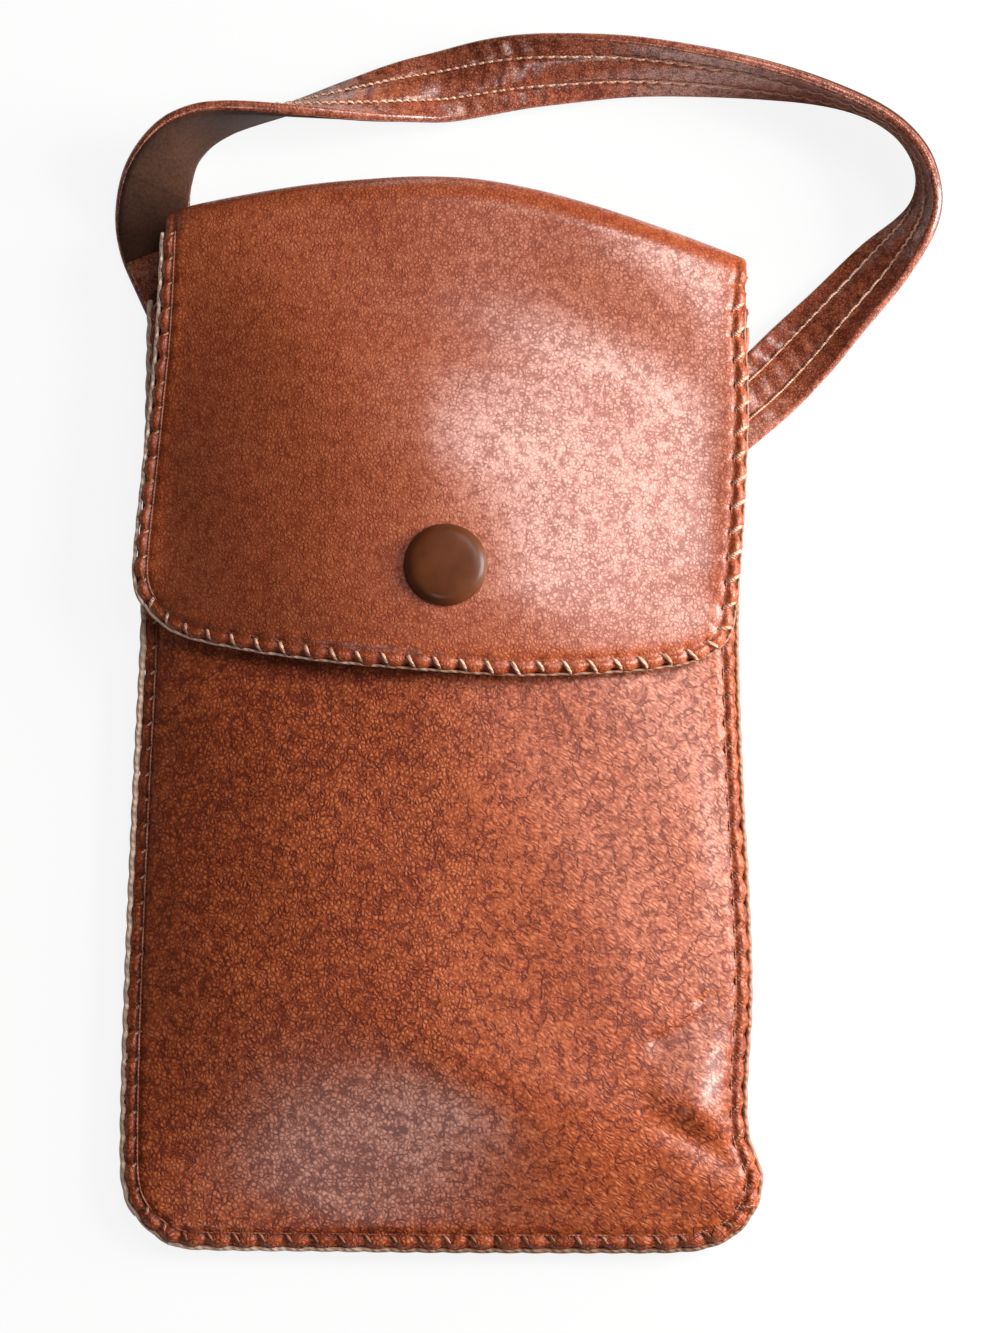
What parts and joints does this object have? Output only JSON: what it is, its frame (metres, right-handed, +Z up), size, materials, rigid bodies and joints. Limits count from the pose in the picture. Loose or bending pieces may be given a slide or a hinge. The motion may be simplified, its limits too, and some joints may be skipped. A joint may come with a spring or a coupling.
{
  "type": "camera flash case",
  "caption": "Soft leather pouch for a camera flash, with a fold-over flap closed by one snap and a flat carrying strap.",
  "frame": {"origin": "the middle of the back's resting face, on the table", "axes": "+X across the case to the right, +Y along the case towards the flap's fold and the strap, +Z up out of the front"},
  "size_m": [0.1398, 0.2029, 0.0221],
  "materials": {
    "case_leather": "soft reddish-tan full-grain leather with a fine pebbled grain and a satin sheen",
    "lining": "thin brown lining leather, matt",
    "strap_leather": "the same leather, creased across the strap",
    "suede": "dark brown suede, matt",
    "thread": "waxed tan thread",
    "cap_enamel": "gloss brown enamel on brass",
    "snap_metal": "dull plated brass"
  },
  "bodies": {
    "case": {"back_panel": "case_leather", "back_lining": "lining", "front_lining": "lining", "front_panel": "case_leather", "left_seam_stitches": "thread", "bottom_seam_stitches": "thread", "right_seam_stitches": "thread", "mouth_stitches": "thread", "flap_fold": "case_leather", "fold_lining": "lining", "snap_stud": "snap_metal", "stud_patch": "case_leather", "stud_post": "snap_metal", "strap_strip": "strap_leather", "strap_facing": "strap_leather", "strap_suede": "suede", "strap_outer_row": "thread", "strap_inner_row": "thread", "left_tab_stitches": "thread", "right_tab_stitches": "thread"},
    "flap": {"flap_panel": "case_leather", "flap_lining": "lining", "flap_left_stitches": "thread", "flap_lower_stitches": "thread", "flap_right_stitches": "thread", "snap_socket": "snap_metal", "snap_spring": "snap_metal", "snap_cap": "cap_enamel", "cap_post": "snap_metal"}
  },
  "joints": [
    {"name": "flap_hinge", "type": "hinge", "parent": "case", "child": "flap", "pos_m": [0, 0.082, 0.0087], "axis": [-1, 0, 0], "range_deg": [0, 135], "deforming": ["flap_fold", "fold_lining"]}
  ]
}
